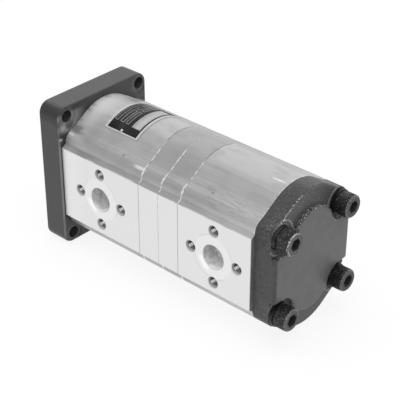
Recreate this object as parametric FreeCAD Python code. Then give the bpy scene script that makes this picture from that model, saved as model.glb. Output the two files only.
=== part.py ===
import FreeCAD, Part
import math
import os

from FreeCAD import Vector as V

# Tandem gear pump, in millimetres.
# +X runs along the drive shaft from the mounting flange to the rear cover, +Z is up.
# The origin is where the drive shaft's axis meets the flange's mounting face.
# The suction ports are on -Y and the smaller pressure ports on +Y.

# Driving dimensions: the stack along the shaft
flange_t = 19.0
front_body_l = 75.6
plate_l = 18.1
rear_body_l = 63.2
cover_rim_t = 13.8
cover_pad_h = 3.8
spot_face_depth = 0.6

# Driving dimensions: the extruded section that all housings share
axis_distance = 34.6
crest_r = 35.2
flank_share = 0.72
shoulder_inset = 0.2
shoulder_lift = 0.7
shoulder_r = 9.2
waist_blend_r = 10.0
port_pad_h = 3.5
port_pad_slope = 2.3
end_edge = 0.35

# Driving dimensions: mounting flange
hole_rows = 96.2
hole_columns = 71.4
upper_row_z = 32.5
mount_hole_r = 4.5
flange_left = 45.0
flange_right = 42.4
flange_over_row = 7.9
flange_under_row = 7.1
flange_corner_r = 8.5
flange_edge_r = 1.2
mount_spot_r = 7.4
mount_spot_depth = 0.4
pilot_r = 18.25
pilot_l = 5.0

# Driving dimensions: tie bolts and their washers
bolt_spread = 30.0
bolt_rise = 29.3
bolt_r = 5.0
bolt_end_x = 8.6
bolt_hole_r = 5.5
tap_depth = 14.0
head_r = 8.0
head_h = 10.0
head_edge = 0.8
socket_flats = 8.0
socket_depth = 5.0
washer_r = 8.8
washer_t = 2.5

# Driving dimensions: rear cover casting
cover_disc_r = 21.5
cover_waist_z = 24.0
pocket_r = 12.0
spot_face_r = 10.0
cover_side_edge_r = 2.8
cover_rim_edge_r = 1.2

# Driving dimensions: ports
suction_r = 9.0
suction_depth = 12.0
suction_passage_r = 6.5
suction_pcd = 40.0
suction_tap_r = 3.4
suction_tap_depth = 16.0
pressure_r = 7.5
pressure_depth = 12.0
pressure_passage_r = 5.0
pressure_pcd = 35.0
pressure_tap_r = 2.5
pressure_tap_depth = 13.0
tap_countersink = 1.1
port_edge = 0.3
drill_point_angle = 118.0

# Driving dimensions: gears and shafts
teeth = 12
pressure_angle = 25.0
tip_r = 20.0
root_r = 14.2
backlash = 0.24
tip_gap = 0.2
gear_side_gap = 0.05
journal_r = 9.0
journal_gap = 0.03
journal_end_gap = 0.6
neck_r = 8.5
neck_l = 8.5
neck_inside_l = 12.0
taper_l = 16.5
taper_ratio = 8.0
thread_r = 6.0
thread_l = 15.0
shaft_end_edge = 1.0

# Driving dimensions: key, nut and coupling
key_w = 4.0
key_disc_r = 8.0
key_stand_out = 2.2
nut_flats = 19.0
nut_h = 7.0
lock_washer_r = 10.5
lock_washer_t = 2.5
spline_count = 9
spline_w = 2.4
spline_root_r = 6.6
spline_tip_r = 7.6
spline_gap = 0.1
spline_l = 17.0
sleeve_r = 12.0
sleeve_l = 31.0
sleeve_clearance = 1.5

# Driving dimensions: bearings and seals
block_l = 23.0
bush_wall = 1.5
relief_depth = 1.2
relief_w = 8.0
relief_near = 2.6
relief_far = 12.0
balance_seal_w = 2.2
balance_seal_t = 1.8
balance_seal_end = 3.0
body_seal_offset = 3.8
body_seal_w = 2.6
body_seal_t = 2.0
coupling_seal_offset = 4.0
dowel_r = 2.5
dowel_l = 12.0
dowel_y = 31.0
shaft_seal_r = 15.0
shaft_seal_t = 7.0
shaft_seal_wall = 1.6
lip_gap = 0.05
snap_ring_t = 1.2
snap_ring_in_r = 13.4
snap_ring_bite = 0.9
snap_ring_opening = 50.0
snap_ring_eye_r = 0.9
seal_depth = 3.7
shaft_passage_gap = 0.6

# Driving dimensions: nameplate on the front body's crest
plate_start = 23.6
plate_w = 31.4
plate_half_w = 23.7
plate_t = 0.5
pin_head_r = 1.0
pin_head_h = 0.35
pin_from_edge = 2.2
pin_along = 15.2

# Places along the shaft
x_front_body = flange_t
x_front_plate = x_front_body + front_body_l
x_rear_plate = x_front_plate + plate_l
x_rear_body = x_rear_plate + plate_l
x_cover = x_rear_body + rear_body_l
x_ledge = x_cover + cover_rim_t
x_pad = x_ledge + cover_pad_h
x_seat = x_ledge - spot_face_depth
x_head = x_seat + washer_t
x_seal = seal_depth - pilot_l
x_seal_back = x_seal + shaft_seal_t

# Places across the section
z_drive = 0.0
z_driven = -axis_distance
z_mid = -axis_distance / 2
shoulder_y = bolt_spread - shoulder_inset
shoulder_z = bolt_rise + shoulder_lift
side_y = shoulder_y + shoulder_r
port_y = side_y + port_pad_h
port_pad_z = shoulder_z - port_pad_slope
chamber_r = tip_r + tip_gap
bush_r = journal_r + bush_wall
bolt_places = [(y, z_mid + z) for y in (-bolt_spread, bolt_spread) for z in (-bolt_rise, bolt_rise)]
overlap = 1.0


def rod(r, x0, x1, y=0.0, z=0.0):
    """A round bar along the shaft direction."""
    return Part.makeCylinder(r, x1 - x0, V(x0, y, z), V(1, 0, 0))


def ring(r_in, r_out, x0, x1, y=0.0, z=0.0):
    return rod(r_out, x0, x1, y, z).cut(rod(r_in, x0 - overlap, x1 + overlap, y, z))


def box(x0, x1, y0, y1, z0, z1):
    return Part.makeBox(x1 - x0, y1 - y0, z1 - z0, V(x0, y0, z0))


def joined(shapes):
    return shapes[0].multiFuse(shapes[1:]).removeSplitter()


def turned(profile, z=0.0):
    """Revolve a closed outline of (x, radius) points about the axis at height z."""
    points = [V(x, 0, z + r) for x, r in profile]
    face = Part.Face(Part.makePolygon(points + points[:1]))
    return face.revolve(V(0, 0, z), V(1, 0, 0), 360)


def hexagon(flats, x0, x1, y=0.0, z=0.0):
    r = flats / math.sqrt(3)
    angles = [k * math.pi / 3 for k in range(7)]
    points = [V(x0, y + r * math.cos(a), z + r * math.sin(a)) for a in angles]
    return Part.Face(Part.makePolygon(points)).extrude(V(x1 - x0, 0, 0))


def arc(x, cy, cz, r, start, end):
    """An arc in the plane at x; angles in degrees from +Y towards +Z."""
    def point(angle):
        a = math.radians(angle)
        return V(x, cy + r * math.cos(a), cz + r * math.sin(a))
    return Part.Arc(point(start), point((start + end) / 2), point(end)).toShape()


def line(x, y0, z0, y1, z1):
    return Part.LineSegment(V(x, y0, z0), V(x, y1, z1)).toShape()


def face_of(edges):
    return Part.Face(Part.Wire(Part.__sortEdges__(edges)))


def crest_flank():
    """The flank's length and angle, and the centre of the hollow arc between it and the shoulder."""
    crest_z = axis_distance / 2
    across = crest_r + waist_blend_r
    to_shoulder = math.hypot(shoulder_y, shoulder_z - crest_z)
    length = flank_share * math.sqrt(to_shoulder ** 2 - (crest_r - shoulder_r) ** 2)
    to_blend = math.hypot(across, length)
    reach = shoulder_r + waist_blend_r
    turn = math.acos((to_blend ** 2 + to_shoulder ** 2 - reach ** 2) / (2 * to_blend * to_shoulder))
    a = math.atan2(shoulder_z - crest_z, shoulder_y) + turn
    flank = a + math.atan2(length, across)
    return length, math.degrees(flank), to_blend * math.cos(a), crest_z + to_blend * math.sin(a)


flank_l, flank_angle, blend_y, blend_z = crest_flank()


def angle_between(ay, az, by, bz):
    return math.degrees(math.atan2(bz - az, by - ay))


def housing_face(x, pad_left, pad_right):
    """The housing's section: two crests with straight flanks, four shoulders over the tie bolts."""
    crest_z = axis_distance / 2
    flank = math.radians(flank_angle)
    flank_y, flank_z = math.cos(flank), math.sin(flank)
    shoulder_start = angle_between(shoulder_y, shoulder_z, blend_y, blend_z)
    foot_y = blend_y - waist_blend_r * flank_y
    foot_z = blend_z - waist_blend_r * flank_z
    edges = []
    for sign, padded in ((-1, pad_left), (1, pad_right)):
        quarter = [
            arc(x, 0, crest_z, crest_r, 90, flank_angle),
            line(x, crest_r * flank_y, crest_z + crest_r * flank_z, foot_y, foot_z),
            arc(x, blend_y, blend_z, waist_blend_r, 180 + flank_angle, 180 + shoulder_start),
            arc(x, shoulder_y, shoulder_z, shoulder_r, shoulder_start, 0),
        ]
        if padded:
            quarter += [
                line(x, side_y, shoulder_z, port_y, port_pad_z),
                line(x, port_y, port_pad_z, port_y, 0),
            ]
        else:
            quarter += [line(x, side_y, shoulder_z, side_y, 0)]
        for edge in quarter:
            upper = edge if sign > 0 else edge.mirror(V(0, 0, 0), V(0, 1, 0))
            edges += [upper, upper.mirror(V(0, 0, 0), V(0, 0, 1))]
    face = face_of(edges)
    face.translate(V(0, 0, z_mid))
    return face


def extrusion(x0, length):
    """A length of the housing's section with its sharp end edges broken."""
    block = housing_face(x0, True, True).extrude(V(length, 0, 0)).removeSplitter()
    return block.makeChamfer(end_edge, [e for e in block.Edges if e.BoundBox.XLength < 0.01])


def racetrack(x0, x1, r):
    """A rounded bar that runs round both gear axes."""
    straight = box(x0, x1, -r, r, z_driven, z_drive)
    return joined([straight, rod(r, x0, x1, 0, z_drive), rod(r, x0, x1, 0, z_driven)])


def chambers(x0, x1):
    """The figure-eight space that both gears and their bearing blocks fill."""
    return joined([rod(chamber_r, x0, x1, 0, z_drive), rod(chamber_r, x0, x1, 0, z_driven)])


def bolt_holes(x0, x1, r=bolt_hole_r):
    return [rod(r, x0, x1, y, z) for y, z in bolt_places]


def dowel_places():
    return [(-dowel_y, z_mid), (dowel_y, z_mid)]


def dowel_holes(x):
    return [rod(dowel_r, x - dowel_l / 2, x + dowel_l / 2, y, z) for y, z in dowel_places()]


def body_seal(x0):
    seal_r = chamber_r + body_seal_offset
    outer = racetrack(x0, x0 + body_seal_t, seal_r + body_seal_w / 2)
    return outer.cut(racetrack(x0 - overlap, x0 + body_seal_t + overlap, seal_r - body_seal_w / 2))


def coupling_seal(x0):
    inner = sleeve_r + sleeve_clearance + coupling_seal_offset
    return ring(inner, inner + body_seal_w, x0, x0 + body_seal_t)


def port_cuts(x, side, bore, tap):
    """One port on the side -1 or +1: a drilled bore with its passage to the gears, four tapped holes."""
    inward = V(0, -side, 0)
    bore_r, bore_depth, passage_r = bore
    pcd, tap_r, tap_depth_here = tap
    tip_slope = math.tan(math.radians(drill_point_angle / 2))

    def drilled(r, depth, edge, px, pz):
        mouth = V(px, side * port_y, pz)
        hole = Part.makeCylinder(r, depth, mouth, inward)
        lead = Part.makeCone(r + edge, r, edge, mouth, inward)
        point = Part.makeCone(r, 0, r / tip_slope, mouth + inward * depth, inward)
        return [hole, lead, point]

    cuts = drilled(bore_r, bore_depth, port_edge, x, z_mid)
    cuts += [Part.makeCylinder(passage_r, port_y, V(x, side * port_y, z_mid), inward)]
    for k in range(4):
        a = k * math.pi / 2
        px = x + pcd / 2 * math.cos(a)
        pz = z_mid + pcd / 2 * math.sin(a)
        cuts += drilled(tap_r, tap_depth_here, tap_countersink, px, pz)
    return cuts


def make_body(x0, length):
    """An extruded pump body with its gear chambers and one port on each side."""
    x1 = x0 + length
    block = extrusion(x0, length)
    port_x = x0 + length / 2
    cuts = [chambers(x0 - overlap, x1 + overlap)]
    suction = (suction_r, suction_depth, suction_passage_r)
    pressure = (pressure_r, pressure_depth, pressure_passage_r)
    cuts += port_cuts(port_x, -1, suction, (suction_pcd, suction_tap_r, suction_tap_depth))
    cuts += port_cuts(port_x, 1, pressure, (pressure_pcd, pressure_tap_r, pressure_tap_depth))
    cuts += bolt_holes(x0 - overlap, x1 + overlap)
    cuts += dowel_holes(x0) + dowel_holes(x1)
    return block.cut(cuts)


def make_plate(x0, seal_in_front):
    """An intermediate plate: one side seals against a body, the other against its twin."""
    x1 = x0 + plate_l
    block = extrusion(x0, plate_l)
    seal_x = x0 if seal_in_front else x1 - body_seal_t
    cuts = [rod(sleeve_r + sleeve_clearance, x0 - overlap, x1 + overlap), body_seal(seal_x)]
    if seal_in_front:
        cuts += [coupling_seal(x1 - body_seal_t)]
    cuts += bolt_holes(x0 - overlap, x1 + overlap)
    cuts += dowel_holes(x0) + dowel_holes(x1)
    return block.cut(cuts)


def make_flange():
    """The cast mounting flange with its pilot spigot and shaft seal pocket."""
    z_top = upper_row_z + flange_over_row
    z_bottom = upper_row_z - hole_rows - flange_under_row
    plate = box(0, flange_t, -flange_left, flange_right, z_bottom, z_top)
    corners = [e for e in plate.Edges if abs(e.tangentAt(e.FirstParameter).x) > 0.99]
    plate = plate.makeFillet(flange_corner_r, corners)
    rims = [e for e in plate.Edges if abs(e.tangentAt(e.FirstParameter).x) < 0.01]
    plate = plate.makeFillet(flange_edge_r, rims)
    body = joined([plate, rod(pilot_r, -pilot_l, overlap)])
    cuts = [
        rod(shaft_seal_r, -pilot_l - overlap, x_seal_back),
        rod(shaft_seal_r + snap_ring_bite, x_seal - snap_ring_t, x_seal),
        rod(journal_r + shaft_passage_gap, x_seal, flange_t + overlap),
        body_seal(flange_t - body_seal_t),
    ]
    cuts += bolt_holes(flange_t - tap_depth, flange_t + overlap, bolt_r)
    cuts += dowel_holes(flange_t)
    for y in (-hole_columns / 2, hole_columns / 2):
        for z in (upper_row_z, upper_row_z - hole_rows):
            cuts += [rod(mount_hole_r, -overlap, flange_t + overlap, y, z)]
            cuts += [rod(mount_spot_r, flange_t - mount_spot_depth, flange_t + overlap, y, z)]
    return body.cut(cuts)


def make_cover():
    """The cast rear cover: a ledge over each crest and a raised middle with four bolt pockets."""
    base = housing_face(x_cover, False, False).extrude(V(cover_rim_t, 0, 0)).removeSplitter()
    rim = [e for e in base.Edges if abs(e.BoundBox.XMin - x_ledge) < 0.01 and e.BoundBox.XLength < 0.01]
    base = base.makeFillet(cover_rim_edge_r, [e for e in rim if e.BoundBox.YLength > 0.01])
    raised = joined([
        rod(cover_disc_r, x_ledge - overlap, x_pad, 0, z_drive),
        rod(cover_disc_r, x_ledge - overlap, x_pad, 0, z_driven),
        box(x_ledge - overlap, x_pad, -side_y, side_y, z_mid - cover_waist_z, z_mid + cover_waist_z),
    ])
    pockets = []
    for y, z in bolt_places:
        out = side_y + overlap
        z_out = z + math.copysign(pocket_r, z - z_mid)
        z_in = z - math.copysign(pocket_r, z - z_mid)
        pockets += [rod(pocket_r, x_ledge, x_pad + overlap, y, z)]
        y_out = math.copysign(out, y)
        y_low, y_high = sorted((y, y_out))
        z_low, z_high = sorted((z_in, z_out))
        pockets += [box(x_ledge, x_pad + overlap, y_low, y_high, z_low, z_high)]
    raised = raised.cut(pockets)
    sides = [e for e in raised.Edges if e.BoundBox.XMin > x_pad - 0.01 and e.BoundBox.YLength < 0.01]
    raised = raised.makeFillet(cover_side_edge_r, sides)
    top = [e for e in raised.Edges if e.BoundBox.XMin > x_pad - 0.01]
    raised = raised.makeFillet(cover_rim_edge_r, [e for e in top if e.BoundBox.YLength > 0.01])
    cover = joined([base, raised])
    cuts = [rod(spot_face_r, x_seat, x_pad, y, z) for y, z in bolt_places]
    cuts += bolt_holes(x_cover - overlap, x_pad)
    cuts += dowel_holes(x_cover)
    cuts += [body_seal(x_cover)]
    return cover.cut(cuts)


def make_tie_bolt(y, z):
    """A long socket-head cap screw, its head's face bevelled."""
    profile = [
        (bolt_end_x, 0), (bolt_end_x, bolt_r), (x_head, bolt_r), (x_head, head_r),
        (x_head + head_h - head_edge, head_r), (x_head + head_h, head_r - head_edge), (x_head + head_h, 0),
    ]
    screw = turned(profile)
    screw = screw.cut(hexagon(socket_flats, x_head + head_h - socket_depth, x_head + head_h + overlap))
    screw.translate(V(0, y, z))
    return screw


def make_block(x0, gear_side):
    """A bearing block with both journal bores, relief pockets and a balance seal groove."""
    x1 = x0 + block_l
    block = chambers(x0, x1)
    cuts = [rod(bush_r, x0 - overlap, x1 + overlap, 0, z) for z in (z_drive, z_driven)]
    relief_x = x1 - relief_depth if gear_side > 0 else x0
    low, high = z_mid - relief_w / 2, z_mid + relief_w / 2
    for near, far in ((-relief_far, -relief_near), (relief_near, relief_far)):
        cuts += [box(relief_x, relief_x + relief_depth, near, far, low, high)]
    cuts += [balance_seal(x0 if gear_side > 0 else x1 - balance_seal_t)]
    return block.cut(cuts)


def balance_seal(x0):
    """The three-shaped seal that bounds the pressure field behind a bearing block."""
    r_in = axis_distance / 2 - balance_seal_w / 2
    r_out = axis_distance / 2 + balance_seal_w / 2
    x1 = x0 + balance_seal_t
    outer = joined([rod(r_out, x0, x1, 0, z) for z in (z_drive, z_driven)])
    inner = [rod(r_in, x0 - overlap, x1 + overlap, 0, z) for z in (z_drive, z_driven)]
    keep = box(x0, x1, -chamber_r, balance_seal_end, z_driven - chamber_r, z_drive + chamber_r)
    return outer.cut(inner).common(keep)


def make_bushes(x0):
    r_in = journal_r + journal_gap
    return Part.makeCompound([ring(r_in, bush_r, x0, x0 + block_l, 0, z) for z in (z_drive, z_driven)])


def gear_face(x, z, first_tooth):
    """An involute gear's section, the first tooth centred at first_tooth degrees."""
    pitch_r = axis_distance / 2
    alpha = math.radians(pressure_angle)
    base_r = pitch_r * math.cos(alpha)
    start_r = max(base_r, root_r)
    half_at_pitch = math.pi / (2 * teeth) - backlash / (4 * pitch_r)

    def half_angle(r):
        phi = math.acos(min(1, base_r / r))
        return half_at_pitch + (math.tan(alpha) - alpha) - (math.tan(phi) - phi)

    def point(r, angle):
        return V(x, r * math.cos(angle), z + r * math.sin(angle))

    steps = 5
    radii = [start_r + (tip_r - start_r) * k / steps for k in range(steps + 1)]
    edges = []
    for k in range(teeth):
        centre = math.radians(first_tooth) + 2 * math.pi * k / teeth
        next_foot = centre + 2 * math.pi / teeth - half_angle(start_r)
        foot = centre + half_angle(start_r)
        tip = half_angle(tip_r)
        for side in (-1, 1):
            flank = Part.BSplineCurve()
            flank.interpolate([point(r, centre + side * half_angle(r)) for r in radii])
            edges += [flank.toShape()]
            if start_r > root_r:
                at = centre + side * half_angle(start_r)
                edges += [Part.LineSegment(point(root_r, at), point(start_r, at)).toShape()]
        for r, start, end in ((tip_r, centre - tip, centre + tip), (root_r, foot, next_foot)):
            edges += [Part.Arc(point(r, start), point(r, (start + end) / 2), point(r, end)).toShape()]
    return face_of(edges)


def gear_teeth(x0, x1, z, first_tooth):
    return gear_face(x0, z, first_tooth).extrude(V(x1 - x0, 0, 0))


def spline_bar(x0, x1, grow, twist=0.0):
    """A straight-sided spline; grow widens its radii but not its flanks."""
    teeth_of_spline = []
    for k in range(spline_count):
        tooth = box(x0, x1, 0, spline_tip_r + grow + overlap, -spline_w / 2, spline_w / 2)
        tooth.rotate(V(0, 0, 0), V(1, 0, 0), twist + 360 * k / spline_count)
        teeth_of_spline += [tooth]
    toothed = joined(teeth_of_spline).common(rod(spline_tip_r + grow, x0, x1))
    return joined([toothed, rod(spline_root_r + grow, x0, x1)])


def gear_span(body_x, body_l):
    """Where a gear starts and ends between its two bearing blocks."""
    return body_x + block_l + gear_side_gap, body_x + body_l - block_l - gear_side_gap


def taper_r(x):
    return neck_r - (-neck_l - x) / (2 * taper_ratio)


def make_front_drive_gear():
    """The drive shaft and the front drive gear, cut from one bar."""
    g0, g1 = gear_span(x_front_body, front_body_l)
    x_taper = -neck_l - taper_l
    x_end = x_taper - thread_l
    shaft = turned([
        (x_end, 0), (x_end, thread_r - shaft_end_edge), (x_end + shaft_end_edge, thread_r),
        (x_taper, thread_r), (x_taper, taper_r(x_taper)), (-neck_l, neck_r), (neck_inside_l, neck_r),
        (neck_inside_l, journal_r), (x_front_plate, journal_r), (x_front_plate, 0),
    ])
    spline = spline_bar(x_front_plate - overlap, x_front_plate + spline_l, 0)
    whole = joined([shaft, gear_teeth(g0, g1, z_drive, -90), spline])
    return whole.cut(make_key())


def make_key():
    """A half-round key in the taper, seated so that its top edge stands parallel to the shaft."""
    key_x = -neck_l - taper_l / 2
    top_z = taper_r(key_x) + key_stand_out
    disc = Part.makeCylinder(key_disc_r, key_w, V(key_x, -key_w / 2, top_z), V(0, 1, 0))
    keep = box(key_x - key_disc_r, key_x + key_disc_r, -key_w, key_w, top_z - key_disc_r, top_z)
    return disc.common(keep)


def make_nut():
    """The shaft nut, its corners turned off on both faces."""
    x1 = -neck_l - taper_l - lock_washer_t
    x0 = x1 - nut_h
    corner_r = nut_flats / math.sqrt(3)
    bevel = corner_r - nut_flats / 2
    turned_edge = turned([
        (x0, 0), (x0, nut_flats / 2), (x0 + bevel, corner_r), (x1 - bevel, corner_r),
        (x1, nut_flats / 2), (x1, 0),
    ])
    return hexagon(nut_flats, x0, x1).common(turned_edge).cut(rod(thread_r, x0 - overlap, x1 + overlap))


def make_rear_drive_gear():
    g0, g1 = gear_span(x_rear_body, rear_body_l)
    shaft = rod(journal_r, x_rear_body, x_cover - journal_end_gap)
    spline = spline_bar(x_rear_body - spline_l, x_rear_body + overlap, 0)
    return joined([shaft, gear_teeth(g0, g1, z_drive, -90), spline])


def make_driven_gear(body_x, body_l):
    """A driven gear with both journals; a space faces the drive gear's lowest tooth."""
    g0, g1 = gear_span(body_x, body_l)
    shaft = rod(journal_r, body_x + journal_end_gap, body_x + body_l - journal_end_gap, 0, z_driven)
    return joined([shaft, gear_teeth(g0, g1, z_driven, 90 + 180 / teeth)])


def make_sleeve():
    x0 = x_rear_plate - sleeve_l / 2
    x1 = x_rear_plate + sleeve_l / 2
    return rod(sleeve_r, x0, x1).cut(spline_bar(x0 - overlap, x1 + overlap, spline_gap))


def make_shaft_seal():
    """A radial lip seal: a stiff outer band, a back wall and a lip that runs on the neck."""
    x0 = x_seal
    x1 = x_seal_back
    lip_r = neck_r + lip_gap
    return turned([
        (x0, shaft_seal_r), (x0, lip_r + shaft_seal_wall),
        (x0 + shaft_seal_wall, lip_r + shaft_seal_wall / 2),
        (x1 - 2 * shaft_seal_wall, lip_r), (x1 - shaft_seal_wall, lip_r + shaft_seal_wall),
        (x0 + 2 * shaft_seal_wall, lip_r + 2 * shaft_seal_wall),
        (x0 + 2 * shaft_seal_wall, shaft_seal_r - shaft_seal_wall),
        (x1, shaft_seal_r - shaft_seal_wall), (x1, shaft_seal_r),
    ])


def make_snap_ring():
    """An internal snap ring with its opening at the bottom and two plier eyes."""
    x0 = x_seal - snap_ring_t
    x1 = x_seal
    outer_r = shaft_seal_r + snap_ring_bite
    whole = ring(snap_ring_in_r, outer_r, x0, x1)
    half = math.radians(snap_ring_opening / 2)
    reach = outer_r + overlap
    points = [V(x0, 0, 0), V(x0, -reach * math.tan(half), -reach), V(x0, reach * math.tan(half), -reach)]
    opening = Part.Face(Part.makePolygon(points + points[:1])).extrude(V(snap_ring_t, 0, 0))
    whole = whole.cut(opening)
    middle_r = (snap_ring_in_r + shaft_seal_r) / 2 - snap_ring_eye_r
    eye = half + 2 * snap_ring_eye_r / middle_r
    for side in (-1, 1):
        y = side * middle_r * math.sin(eye)
        z = -middle_r * math.cos(eye)
        whole = joined([whole, rod(2 * snap_ring_eye_r, x0, x1, y, z)])
        whole = whole.cut(rod(snap_ring_eye_r, x0 - overlap, x1 + overlap, y, z))
    return whole


def on_crest(along, lift):
    """Place and outward direction at a distance along the top crest, as the nameplate's outside has it."""
    out_r = crest_r + plate_t
    flank = math.radians(flank_angle)
    arc_l = (math.pi / 2 - flank) * out_r
    side = math.copysign(1, along)
    past = max(abs(along) - arc_l, 0)
    a = max(math.pi / 2 - abs(along) / out_r, flank)
    out = V(0, side * math.cos(a), math.sin(a))
    down = V(0, side * math.sin(a), -math.cos(a))
    return out * (crest_r + lift) + down * past, out


def crest_cap(x, lift):
    """The section of the top crest down to the feet of its straight flanks, grown by lift."""
    r = crest_r + lift
    a = math.radians(flank_angle)
    y0, z0 = r * math.cos(a), r * math.sin(a)
    y1, z1 = y0 + flank_l * math.sin(a), z0 - flank_l * math.cos(a)
    edges = [arc(x, 0, z_drive, r, flank_angle, 180 - flank_angle), line(x, -y1, z1, y1, z1)]
    return face_of(edges + [line(x, y0, z0, y1, z1), line(x, -y0, z0, -y1, z1)])


def make_nameplate():
    """A thin plate bent over the front body's crest and on to its straight flanks."""
    x0 = x_front_body + plate_start
    along_x = V(plate_w, 0, 0)
    shell = crest_cap(x0, plate_t).extrude(along_x).cut(crest_cap(x0, 0).extrude(along_x))
    low, low_out = on_crest(-plate_half_w, 0)
    high, high_out = on_crest(plate_half_w, 0)
    trim = [low - low_out * overlap, low + low_out * crest_r]
    trim += [high + high_out * crest_r, high - high_out * overlap]
    points = [point + V(x0, 0, 0) for point in trim]
    return shell.common(Part.Face(Part.makePolygon(points + points[:1])).extrude(along_x))


def make_nameplate_pins():
    """Two small drive pins that hold the plate near its lower and far edges."""
    x = x_front_body + plate_start + pin_along
    pins = []
    for side in (-1, 1):
        place, out = on_crest(side * (plate_half_w - pin_from_edge), plate_t)
        pins += [Part.makeCylinder(pin_head_r, pin_head_h, V(x, 0, 0) + place, out)]
    return Part.makeCompound(pins)


def make_dowels():
    joints = (x_front_body, x_front_plate, x_rear_plate, x_rear_body, x_cover)
    pins = [rod(dowel_r, x - dowel_l / 2, x + dowel_l / 2, y, z) for x in joints for y, z in dowel_places()]
    return Part.makeCompound(pins)


def build():
    washers = [ring(bolt_r, washer_r, x_seat, x_head, y, z) for y, z in bolt_places]
    x_taper = -neck_l - taper_l
    pieces = {
        "front_flange": make_flange(),
        "front_body": make_body(x_front_body, front_body_l),
        "front_intermediate_plate": make_plate(x_front_plate, True),
        "rear_intermediate_plate": make_plate(x_rear_plate, False),
        "rear_body": make_body(x_rear_body, rear_body_l),
        "rear_cover": make_cover(),
        "tie_bolts": Part.makeCompound([make_tie_bolt(y, z) for y, z in bolt_places]),
        "tie_bolt_washers": Part.makeCompound(washers),
        "dowel_pins": make_dowels(),
        "nameplate": make_nameplate(),
        "nameplate_pins": make_nameplate_pins(),
        "shaft_seal": make_shaft_seal(),
        "shaft_seal_snap_ring": make_snap_ring(),
        "front_drive_gear": make_front_drive_gear(),
        "shaft_key": make_key(),
        "shaft_nut": make_nut(),
        "shaft_lock_washer": ring(thread_r, lock_washer_r, x_taper - lock_washer_t, x_taper),
        "coupling_sleeve": make_sleeve(),
        "rear_drive_gear": make_rear_drive_gear(),
        "front_driven_gear": make_driven_gear(x_front_body, front_body_l),
        "rear_driven_gear": make_driven_gear(x_rear_body, rear_body_l),
        "flange_body_seal": body_seal(flange_t - body_seal_t),
        "front_plate_body_seal": body_seal(x_front_plate),
        "coupling_bore_seal": coupling_seal(x_rear_plate - body_seal_t),
        "rear_plate_body_seal": body_seal(x_rear_body - body_seal_t),
        "cover_body_seal": body_seal(x_cover),
    }
    sections = (("front", x_front_body, front_body_l), ("rear", x_rear_body, rear_body_l))
    for name, x, length in sections:
        far = x + length - block_l
        pieces[name + "_section_front_block"] = make_block(x, 1)
        pieces[name + "_section_rear_block"] = make_block(far, -1)
        pieces[name + "_section_front_bushes"] = make_bushes(x)
        pieces[name + "_section_rear_bushes"] = make_bushes(far)
        pieces[name + "_section_front_balance_seal"] = balance_seal(x)
        pieces[name + "_section_rear_balance_seal"] = balance_seal(x + length - balance_seal_t)
    return pieces


os.makedirs("parts", exist_ok=True)
for name, shape in build().items():
    shape.exportStep("parts/" + name + ".step")
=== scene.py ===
import math

import bmesh
import bpy
from mathutils import Matrix, Vector


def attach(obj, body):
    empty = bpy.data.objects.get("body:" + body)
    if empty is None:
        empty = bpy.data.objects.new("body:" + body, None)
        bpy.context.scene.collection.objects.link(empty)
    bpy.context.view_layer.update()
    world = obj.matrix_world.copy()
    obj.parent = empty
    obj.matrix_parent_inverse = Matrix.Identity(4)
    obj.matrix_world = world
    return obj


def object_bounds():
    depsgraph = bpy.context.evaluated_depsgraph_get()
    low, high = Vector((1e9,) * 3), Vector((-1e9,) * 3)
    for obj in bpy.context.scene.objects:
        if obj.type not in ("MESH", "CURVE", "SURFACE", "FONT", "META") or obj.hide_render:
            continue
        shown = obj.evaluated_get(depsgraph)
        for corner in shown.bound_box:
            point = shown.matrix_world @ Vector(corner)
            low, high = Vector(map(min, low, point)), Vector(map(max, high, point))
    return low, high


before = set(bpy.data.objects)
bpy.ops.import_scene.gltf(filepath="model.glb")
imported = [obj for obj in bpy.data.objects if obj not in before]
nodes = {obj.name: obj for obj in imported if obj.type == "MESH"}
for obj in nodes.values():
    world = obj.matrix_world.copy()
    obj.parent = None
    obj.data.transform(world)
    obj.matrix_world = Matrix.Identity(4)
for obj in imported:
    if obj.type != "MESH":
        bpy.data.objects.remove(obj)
cad_low, cad_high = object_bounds()

# Sizes of the pump in millimetres, in the frame of the solids: X runs back along the drive axis
# and the suction ports are on the side of negative Y
MM = 0.001
Z_MID = -17.3
FLANGE_REAR_X = 19.0
SEAMS_X = (94.6, 112.7, 130.8)
BODY_END_X = 194.0
COVER_LEDGE_X = 207.8
COVER_PAD_X = 211.6
PORTS_X = (56.8, 162.4)
PORT_FACE_Y = 42.5

# Flange holes and tie bolts, each half the spacing from the middle of its pattern
FLANGE_HOLES_Z = -15.6
FLANGE_HOLE_SPREAD = 35.7
FLANGE_HOLE_RISE = 48.1
BOLT_SPREAD = 30.0
BOLT_RISE = 29.3
HEAD_START_X = 209.7
HEAD_END_X = 219.7
HEAD_R = 8.0

# Tapped holes round the ports: circle radius, drill radius, lead-in, depth and pitch. All lie
# within HOLES_REACH of a port's axis
SUCTION_HOLES = (20.0, 3.4, 1.1, 14.0, 1.25)
PRESSURE_HOLES = (17.5, 2.5, 1.1, 11.0, 1.0)
HOLES_REACH = 25.0


def linear(hex_colour):
    """An sRGB hex colour as Blender's linear red, green, blue and alpha."""
    parts = []
    for k in (1, 3, 5):
        c = int(hex_colour[k:k + 2], 16) / 255
        parts.append(c / 12.92 if c <= 0.04045 else ((c + 0.055) / 1.055) ** 2.4)
    return (*parts, 1.0)


def grey(value):
    """A number as a colour, for the layers of roughness and metal."""
    return (value, value, value, 1.0)


def add(tree, kind, inputs=None, out=0, **settings):
    """Adds one shader node, sets and links its inputs, and gives the output asked for."""
    node = tree.nodes.new("ShaderNode" + kind)
    for key, value in settings.items():
        setattr(node, key, value)
    for key, value in (inputs or {}).items():
        if isinstance(value, bpy.types.NodeSocket):
            tree.links.new(value, node.inputs[key])
        else:
            node.inputs[key].default_value = value
    return node.outputs[out] if node.outputs else node


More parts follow.
